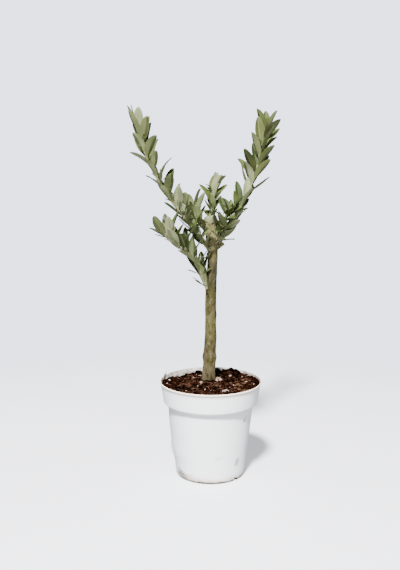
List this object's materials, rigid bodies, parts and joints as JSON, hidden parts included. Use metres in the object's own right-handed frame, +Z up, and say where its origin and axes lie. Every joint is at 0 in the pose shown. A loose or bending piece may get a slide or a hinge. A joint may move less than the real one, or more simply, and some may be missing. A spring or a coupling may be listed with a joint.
{
  "type": "potted olive sapling",
  "caption": "Young olive tree on a bare stem with narrow leaves in pairs, growing in a tapered plastic nursery pot filled with soil.",
  "frame": {"origin": "centre of the pot's flat underside", "axes": "+Z up along the pot's axis; -Y is the front that the picture shows, with +X to its right"},
  "size_m": [0.2127, 0.15, 0.5337],
  "materials": {
    "pot_plastic": "white moulded plastic, satin",
    "potting_soil": "moist reddish-brown peat with fibres and perlite",
    "bark": "rough grey-brown bark with mossy tint",
    "young_stem": "smooth grey-green young bark",
    "leaves": "leathery leaves, dark green above, silvery green below"
  },
  "bodies": {
    "root": {"pot": "pot_plastic", "soil": "potting_soil", "trunk": "bark", "left_bough": "young_stem", "right_bough": "young_stem", "left_foliage": "leaves", "right_foliage": "leaves", "low_left_foliage": "leaves", "centre_foliage": "leaves", "inner_left_foliage": "leaves", "inner_right_foliage": "leaves", "fore_left_foliage": "leaves", "fore_right_foliage": "leaves"}
  },
  "joints": []
}
